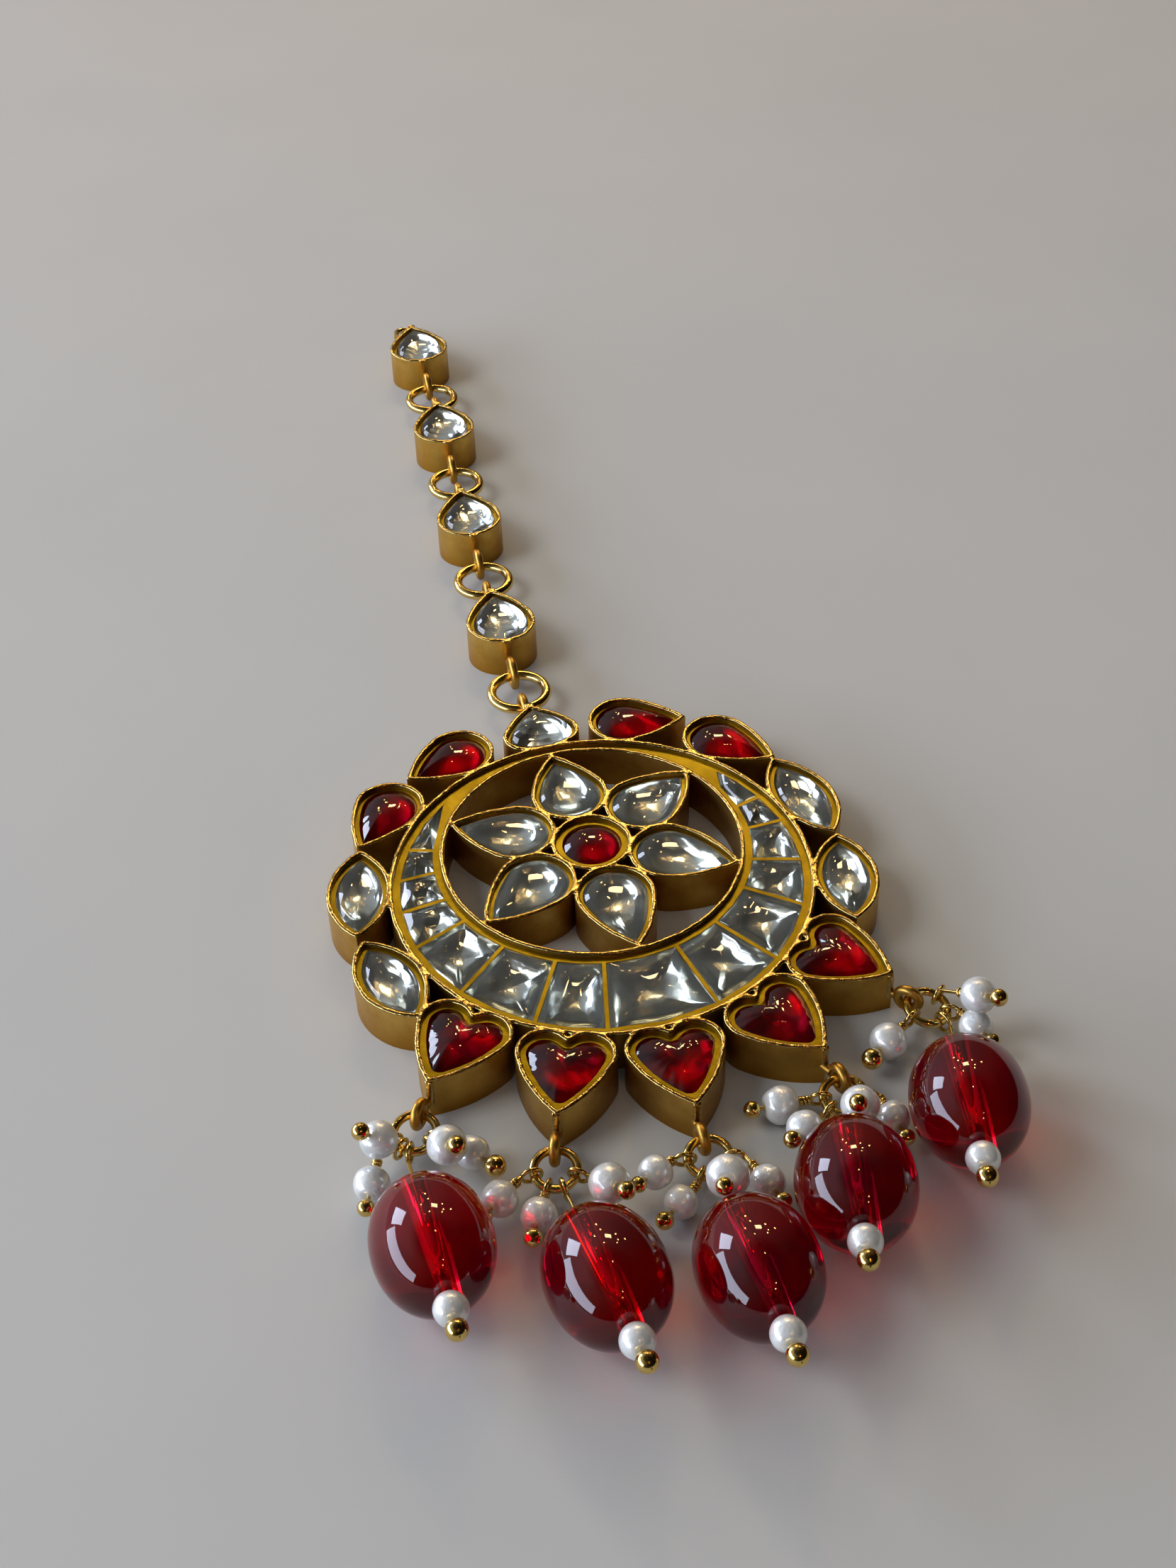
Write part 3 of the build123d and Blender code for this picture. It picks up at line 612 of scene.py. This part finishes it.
# The top pear and the chain's stones stand higher in their bezels.
HIGH_DOME = [(0.98, 4.10), (0.86, 4.62), (0.70, 4.94), (0.50, 5.14), (0.30, 5.24), (0.14, 5.27)]
BOWL = [(0.86, 3.05), (0.66, 2.70), (0.44, 2.48), (0.22, 2.38)]
FLOWER_AND_EDGE = [f"petal_stone_{n}" for n in range(1, 7)]
FLOWER_AND_EDGE += [f"marquise_stone_{n}" for n in range(1, 5)]
STANDING_HIGHER = [f"chain_stone_{n}" for n in range(1, 5)] + ["top_pear_stone"]
for node_name in FLOWER_AND_EDGE + STANDING_HIGHER:
    high = node_name in STANDING_HIGHER
    stone = foiled_stone(
        "cut_" + node_name,
        islands(node_name)[0],
        CLEAR_STEPS,
        HIGH_DOME if high else DOME,
        BOWL,
        grow=(0.18 if high else 0.06) * MM,
    )
    smooth_by(stone, 14)
    replace_with_stone(node_name, stone, clear_quartz, silver_foil)

# ---------------------------------------------------------------------------------------------
# Crescent: fourteen clear quartz stones, each cut as a low pyramid with four soft flats. They
# sit side by side over silver foil in the one bed between the two rings.

CRESCENT_STEPS = 48
PYRAMID = [(0.96, 3.98), (0.76, 4.24), (0.54, 4.46), (0.34, 4.62), (0.15, 4.72)]
PYRAMID_FOIL = [(0.80, 3.00), (0.55, 2.68), (0.30, 2.48), (0.12, 2.40)]
crescent = []
for number, points in enumerate(islands("crescent_stones"), start=1):
    stone = foiled_stone(
        f"crescent_stone_{number}",
        points,
        CRESCENT_STEPS,
        PYRAMID,
        PYRAMID_FOIL,
        grow=0.04 * MM,
    )
    smooth_by(stone, 30)
    paint(stone, clear_quartz, silver_foil)
    foil_under(stone)
    crescent.append(stone)


def joined(pieces, name):
    """Several objects as one, named and set to ride on the body."""
    bpy.ops.object.select_all(action="DESELECT")
    for piece in pieces:
        piece.select_set(True)
    bpy.context.view_layer.objects.active = pieces[0]
    bpy.ops.object.join()
    pieces[0].name = name
    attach(pieces[0], "root")
    return pieces[0]


crescent_row = joined(crescent, "pyramid_stones")
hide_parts("crescent_stones")

# ---------------------------------------------------------------------------------------------
# Rubies: deep red cabochons over red-tinted foil, one at the centre, four pears at the top and
# five hearts at the bottom. They were shaped by hand, and the hearts' edges are a little chipped.

RED_CREASE_SIZE = 2.6 * MM
RUBY_STEPS = 96

# Ruby-coloured glass, polished: deep red, clear and very glossy.
ruby, tree = start_material("polished_ruby_glass")
surface = add_node(
    tree,
    "ShaderNodeBsdfPrincipled",
    {
        "Base Color": linear("#b4063e"),
        "Roughness": 0.02,
        "IOR": 1.54,
        "Transmission Weight": 1.0,
    },
)
add_node(tree, "ShaderNodeOutputMaterial", {"Surface": surface.outputs[0]})

# Copper foil, tinted red: it drifts from magenta to red, and the brighter red on its soft creases is a
# painted glow.
red_foil, tree = start_material("red_tinted_foil")
place = add_node(tree, "ShaderNodeTexCoord")
creases = add_node(
    tree,
    "ShaderNodeTexNoise",
    {"Vector": place.outputs["Object"], "Scale": 1 / RED_CREASE_SIZE, "Detail": 1.0, "Roughness": 0.55},
)
hue = add_node(
    tree, "ShaderNodeMapRange", {"Value": creases.outputs[0], "From Min": 0.38, "From Max": 0.62}
)
# Painted glow: the raised creases turn brighter red.
shade = add_node(
    tree,
    "ShaderNodeMix",
    {"Factor": hue.outputs[0], "A": linear("#961058"), "B": linear("#dc1434")},
    data_type="RGBA",
)
relief = add_node(
    tree, "ShaderNodeBump", {"Height": creases.outputs[0], "Strength": 0.4, "Distance": 0.6 * MM}
)
surface = add_node(
    tree,
    "ShaderNodeBsdfPrincipled",
    {
        "Base Color": shade.outputs["Result"],
        "Metallic": 1.0,
        "Roughness": 0.42,
        "Normal": relief.outputs[0],
    },
)
add_node(tree, "ShaderNodeOutputMaterial", {"Surface": surface.outputs[0]})

CABOCHON = [
    (0.96, 3.89),
    (0.89, 4.02),
    (0.79, 4.20),
    (0.66, 4.39),
    (0.50, 4.56),
    (0.32, 4.68),
    (0.15, 4.73),
]
RUBY_BOWL = [(0.90, 3.00), (0.72, 2.62), (0.48, 2.42), (0.22, 2.34)]
HEARTS = [f"heart_ruby_{n}" for n in range(1, 6)]
PEARS = [f"pear_ruby_{n}" for n in range(1, 5)]
for number, node_name in enumerate(HEARTS + PEARS + ["centre_ruby"]):
    is_heart = node_name in HEARTS
    stone = foiled_stone(
        "cut_" + node_name,
        islands(node_name)[0],
        RUBY_STEPS,
        CABOCHON,
        RUBY_BOWL,
        grow=(0.12 if is_heart else 0.05) * MM,
        chips=(0.16 if is_heart else 0.06) * MM,
        seed=1.3 * number,
    )
    smooth_by(stone, 50)
    replace_with_stone(node_name, stone, ruby, red_foil)

# ---------------------------------------------------------------------------------------------
# Chain: four pear bezels of the same sheet gold, with a lip rubbed over their stones. Plain
# jump rings of drawn gold wire join them, and a hook of the same wire ends the chain.

LINK_RIM = 4.3 * MM
# Real scuffs on wire are under a tenth of a millimetre, too fine to show, so these are coarser.
SCUFF_SIZE = 0.4 * MM

# The links' walls get the same painted shade towards their foot.
link_gold = gold_walls("sheet_gold_painted_shade_links", LINK_RIM)
for number in range(1, 5):
    paint(nodes[f"chain_link_{number}"], link_gold)
    rubbed_lip(f"chain_link_{number}", LINK_RIM)

# High-carat gold wire, pulled through a draw plate: smooth and bright, with fine scuffs.
wire_gold, tree = start_material("drawn_gold_wire")
place = add_node(tree, "ShaderNodeTexCoord")
scuffs = add_node(
    tree,
    "ShaderNodeTexNoise",
    {"Vector": place.outputs["Object"], "Scale": 1 / SCUFF_SIZE, "Detail": 3.0, "Roughness": 0.55},
)
shade = add_node(
    tree,
    "ShaderNodeMix",
    {"Factor": scuffs.outputs[0], "A": linear("#c9a04c"), "B": linear("#ecd488")},
    data_type="RGBA",
)
relief = add_node(
    tree, "ShaderNodeBump", {"Height": scuffs.outputs[0], "Strength": 0.1, "Distance": 0.04 * MM}
)
surface = add_node(
    tree,
    "ShaderNodeBsdfPrincipled",
    {
        "Base Color": shade.outputs["Result"],
        "Metallic": 1.0,
        "Roughness": 0.17,
        "Normal": relief.outputs[0],
    },
)
add_node(tree, "ShaderNodeOutputMaterial", {"Surface": surface.outputs[0]})
for number in range(1, 5):
    paint(nodes[f"chain_ring_{number}"], wire_gold)
paint(nodes["hook"], wire_gold)

# ---------------------------------------------------------------------------------------------
# Heart tips: a narrow strap of the same gold runs down the tip of each heart to its wire loop.
# It is soldered to the bezel, and its edges are worn round and bright.

STRAP_WIDTH = 0.62 * MM
STRAP_DEPTH = 0.70 * MM
STRAP_HEIGHT = 2.75 * MM
STRAP_MIDDLE = 2.78 * MM
STRAP_STANDOFF = 1.23 * MM
STRAP_FLARE = 0.35 * MM
STRAP_UNEVENNESS = 0.05 * MM
STRAP_WAVES = 1.5
STRAP_NOISE_STEP = 9

bpy.ops.mesh.primitive_cube_add(size=1.0)
plain_strap = bpy.context.object
plain_strap.data.transform(Matrix.Diagonal((STRAP_WIDTH, STRAP_DEPTH, STRAP_HEIGHT, 1.0)))
plain_strap.data.transform(Matrix.Translation((0, 0, STRAP_MIDDLE)))
apply_modifier(plain_strap, "BEVEL", width=0.17 * MM, segments=3)
apply_modifier(plain_strap, "SUBSURF", levels=2, render_levels=2)
for vertex in plain_strap.data.vertices:
    foot_share = max(0.0, 1 - vertex.co.z / RIM)
    vertex.co.x += STRAP_FLARE * foot_share ** 2
bpy.ops.object.shade_smooth()
paint(plain_strap, burnished_gold)


def own_copy(original):
    """A copy of an object with a mesh of its own."""
    copy = original.copy()
    copy.data = original.data.copy()
    bpy.context.collection.objects.link(copy)
    return copy


straps = []
for number in range(1, 6):
    points = islands(f"heart_ruby_{number}")[0]
    middle = outline_of(points, 8, 0.0)[1]
    foot = points[:, :2] - middle
    tip = foot[np.linalg.norm(foot, axis=1).argmax()]
    out = tip / np.linalg.norm(tip)
    strap = own_copy(plain_strap)
    seed = Vector((number * STRAP_NOISE_STEP, 0, 0))
    for vertex in strap.data.vertices:
        vertex.co += noise.noise_vector(vertex.co / MM * STRAP_WAVES + seed) * STRAP_UNEVENNESS
    stand = middle + tip + out * STRAP_STANDOFF
    turn = Matrix.Rotation(atan2(out[1], out[0]), 4, "Z")
    strap.data.transform(Matrix.Translation((stand[0], stand[1], 0)) @ turn)
    straps.append(strap)
bpy.data.objects.remove(plain_strap)
joined(straps, "heart_tip_straps")

# ---------------------------------------------------------------------------------------------
# Jump rings, head pins and pearls: each drop hangs on a ring of gold wire, with small river
# pearls threaded on ball-headed pins. Each pin's wire is wound round its shaft above the pearl.

PIN_SHAFT = 0.32 * MM
WRAP_WIRE = 0.30 * MM
# how far the wound wire's middle lies from the shaft, and how its turns follow each other, in
# widths of that wire
WRAP_OFFSET = 0.42
WRAP_START = 0.3
WRAP_PITCH = 0.95
WRAP_TURNS = 3
WRAP_LEAN = radians(13)
DRILL_RADIUS = 0.31 * MM
DRILL_SINK = 0.16
PEARL_FULLNESS = 0.985
RIDGE_HEIGHT = 0.008
# ridges are close along the pin and wide across it
RIDGE_WAVES = (2, 2, 9)
LUMP_WAVES = 1.3
NOISE_STEP = 7.3
SEED_LUMP = 0.015
PEARL_LUMP = 0.045
NACRE_WAVE_SIZE = 1.2 * MM
# The first two balls of a drop are the round seeds above and below its bead.
BEAD_SEEDS = 2

for number in range(1, 6):
    paint(nodes[f"drop_ring_{number}"], wire_gold)
    paint(nodes[f"drop_pins_{number}"], wire_gold)

# River pearl, as grown: nacre that drifts from cool grey to white, finely waved, with a deep gloss.
pearl_nacre, tree = start_material("river_pearl_nacre")
place = add_node(tree, "ShaderNodeTexCoord")
waves = add_node(
    tree,
    "ShaderNodeTexNoise",
    {"Vector": place.outputs["Object"], "Scale": 1 / NACRE_WAVE_SIZE, "Detail": 3.0, "Roughness": 0.55},
)
shade = add_node(
    tree,
    "ShaderNodeMix",
    {"Factor": waves.outputs[0], "A": linear("#abb0ae"), "B": linear("#f1f2ef")},
    data_type="RGBA",
)
relief = add_node(
    tree, "ShaderNodeBump", {"Height": waves.outputs[0], "Strength": 0.5, "Distance": 0.2 * MM}
)
surface = add_node(
    tree,
    "ShaderNodeBsdfPrincipled",
    {
        "Base Color": shade.outputs["Result"],
        "Metallic": 0.3,
        "Roughness": 0.3,
        "Specular IOR Level": 0.8,
        "Coat Weight": 1.0,
        "Coat IOR": 1.8,
        "Coat Roughness": 0.07,
        "Normal": relief.outputs[0],
    },
)
add_node(tree, "ShaderNodeOutputMaterial", {"Surface": surface.outputs[0]})


def threaded_pearls(number):
    """Centre, pin direction and radius of each pearl of one drop, from its pins and pearls."""
    lines = []
    for pin in islands(f"drop_pins_{number}"):
        loop_end = pin[np.linalg.norm(pin - pin.mean(axis=0), axis=1).argmax()]
        ball_end = pin[np.linalg.norm(pin - loop_end, axis=1).argmax()]
        lines.append((pin, loop_end, (ball_end - loop_end) / np.linalg.norm(ball_end - loop_end)))
    pearls = []
    for points in islands(f"drop_pearls_{number}"):
        centre = (points.min(axis=0) + points.max(axis=0)) / 2
        radius = np.linalg.norm(points - centre, axis=1).max()
        pin = min(lines, key=lambda line: np.linalg.norm(np.cross(centre - line[1], line[2])))[0]
        loop_end = pin[np.linalg.norm(pin - centre, axis=1).argmax()]
        beyond = pin[(pin - centre) @ (loop_end - centre) < 0]
        ball_end = beyond[np.linalg.norm(beyond - centre, axis=1).argmax()]
        axis = (ball_end - centre) / np.linalg.norm(ball_end - centre)
        pearls.append((Vector(centre), Vector(axis), radius))
    return pearls


bpy.ops.mesh.primitive_torus_add(
    major_radius=PIN_SHAFT / 2 + WRAP_WIRE * WRAP_OFFSET,
    minor_radius=WRAP_WIRE / 2,
    major_segments=24,
    minor_segments=10,
)
wire_turn = bpy.context.object
bpy.ops.object.shade_smooth()
paint(wire_turn, wire_gold)

for number in range(1, 6):
    balls = []
    wraps = []
    for order, (centre, axis, radius) in enumerate(threaded_pearls(number)):
        # Each ball is a little off round, with faint ridges, and sinks in at its drill holes.
        bpy.ops.mesh.primitive_uv_sphere_add(segments=40, ring_count=28, radius=radius)
        ball = bpy.context.object
        lump = SEED_LUMP if order < BEAD_SEEDS else PEARL_LUMP
        seed = Vector((number, order, 0)) * NOISE_STEP
        for vertex in ball.data.vertices:
            unit = vertex.co.normalized()
            from_drill = hypot(vertex.co.x, vertex.co.y) / DRILL_RADIUS
            sink = DRILL_SINK * exp(-(from_drill ** 2) / 3)
            ridges = RIDGE_HEIGHT * noise.noise(unit * Vector(RIDGE_WAVES) + seed)
            swell = lump * noise.noise(unit * LUMP_WAVES + seed)
            vertex.co = unit * radius * (PEARL_FULLNESS - sink + swell + ridges)
        turn = axis.to_track_quat("Z", "Y").to_matrix().to_4x4()
        ball.data.transform(Matrix.Translation(centre) @ turn)
        bpy.ops.object.shade_smooth()
        paint(ball, pearl_nacre)
        balls.append(ball)
        if order < BEAD_SEEDS:
            continue
        for wrap in range(WRAP_TURNS):
            coil = own_copy(wire_turn)
            lean = Matrix.Rotation(WRAP_LEAN, 4, Vector((cos(wrap), sin(wrap), 0)))
            back = radius + WRAP_WIRE * (WRAP_START + WRAP_PITCH * wrap)
            coil.data.transform(Matrix.Translation(centre - axis * back) @ turn @ lean)
            wraps.append(coil)
    strung = joined(balls, f"pearls_{number}")
    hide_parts(f"drop_pearls_{number}")
    joined(wraps, f"pin_wraps_{number}")
bpy.data.objects.remove(wire_turn)

# ---------------------------------------------------------------------------------------------
# Glass beads: an oval bead of deep red glass in each drop, moulded full in the middle and fire
# polished. It is drilled right through, and the bore shows as a lighter line inside it.

GLASS_CLOUD_SIZE = 6 * MM
BEAD_STEPS = 96
BEAD_RINGS = 72
BORE_RADIUS = 0.5 * MM
BORE_MOUTH = 1.6
BORE_CUTS = 24
# above 2, the power makes the bead fuller than an ellipsoid
BARREL = 2.15
POLE = 0.9999

# Deep red glass, moulded and fire polished: clear, a little uneven in colour, with a wet gloss.
bead_glass, tree = start_material("deep_red_glass")
place = add_node(tree, "ShaderNodeTexCoord")
clouds = add_node(
    tree,
    "ShaderNodeTexNoise",
    {"Vector": place.outputs["Object"], "Scale": 1 / GLASS_CLOUD_SIZE, "Detail": 2.0, "Roughness": 0.55},
)
hue = add_node(
    tree, "ShaderNodeMapRange", {"Value": clouds.outputs[0], "From Min": 0.35, "From Max": 0.65}
)
shade = add_node(
    tree,
    "ShaderNodeMix",
    {"Factor": hue.outputs[0], "A": linear("#980230"), "B": linear("#e6000c")},
    data_type="RGBA",
)
surface = add_node(
    tree,
    "ShaderNodeBsdfPrincipled",
    {
        "Base Color": shade.outputs["Result"],
        "Roughness": 0.03,
        "IOR": 1.5,
        "Transmission Weight": 0.96,
    },
)
add_node(tree, "ShaderNodeOutputMaterial", {"Surface": surface.outputs[0]})

for number in range(1, 6):
    points = islands(f"drop_bead_{number}")[0]
    spread = np.linalg.svd(points - points.mean(axis=0), full_matrices=False)[2]
    axis = Vector(spread[0])
    if axis.y < 0:
        axis = -axis
    along = (points - points.mean(axis=0)) @ np.array(axis)
    middle = points.mean(axis=0) + np.array(axis) * (along.max() + along.min()) / 2
    half_length = (along.max() - along.min()) / 2
    radius = np.linalg.norm(np.cross(points - middle, np.array(axis)), axis=1).max()
    bpy.ops.mesh.primitive_uv_sphere_add(segments=BEAD_STEPS, ring_count=BEAD_RINGS, radius=1.0)
    bead = bpy.context.object
    bead.name = f"glass_bead_{number}"
    for vertex in bead.data.vertices:
        level = abs(vertex.co.z)
        if level < POLE:
            fuller = (1 - level ** BARREL) ** (1 / BARREL) / sqrt(1 - level * level)
            vertex.co.x *= fuller
            vertex.co.y *= fuller
    bead.data.transform(Matrix.Diagonal((radius, radius, half_length, 1.0)))
    # The poles are taken out, and their open edges bridged through the bead as its bore.
    bpy.ops.object.mode_set(mode="EDIT")
    bpy.ops.mesh.select_all(action="DESELECT")
    mesh = bmesh.from_edit_mesh(bead.data)
    for vertex in mesh.verts:
        if hypot(vertex.co.x, vertex.co.y) < BORE_RADIUS * BORE_MOUTH:
            vertex.select_set(True)
    mesh.select_flush(True)
    bmesh.update_edit_mesh(bead.data)
    bpy.ops.mesh.delete(type="VERT")
    mesh = bmesh.from_edit_mesh(bead.data)
    for edge in mesh.edges:
        edge.select_set(edge.is_boundary)
    bmesh.update_edit_mesh(bead.data)
    bpy.ops.mesh.extrude_edges_move(TRANSFORM_OT_translate={"value": (0, 0, 0)})
    mesh = bmesh.from_edit_mesh(bead.data)
    for vertex in mesh.verts:
        if vertex.select:
            reach = hypot(vertex.co.x, vertex.co.y)
            vertex.co.x *= BORE_RADIUS / reach
            vertex.co.y *= BORE_RADIUS / reach
    bmesh.update_edit_mesh(bead.data)
    bpy.ops.mesh.bridge_edge_loops(number_cuts=BORE_CUTS)
    bpy.ops.mesh.select_all(action="SELECT")
    bpy.ops.mesh.normals_make_consistent(inside=False)
    bpy.ops.object.mode_set(mode="OBJECT")
    turn = axis.to_track_quat("Z", "Y").to_matrix().to_4x4()
    bead.data.transform(Matrix.Translation(Vector(middle)) @ turn)
    # It rests as low as the plain bead it stands for.
    below = points[:, 2].min() - min(vertex.co.z for vertex in bead.data.vertices)
    bead.data.transform(Matrix.Translation((0, 0, below)))
    smooth_by(bead, 40)
    paint(bead, bead_glass)
    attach(bead, "root")
    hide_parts(f"drop_bead_{number}")
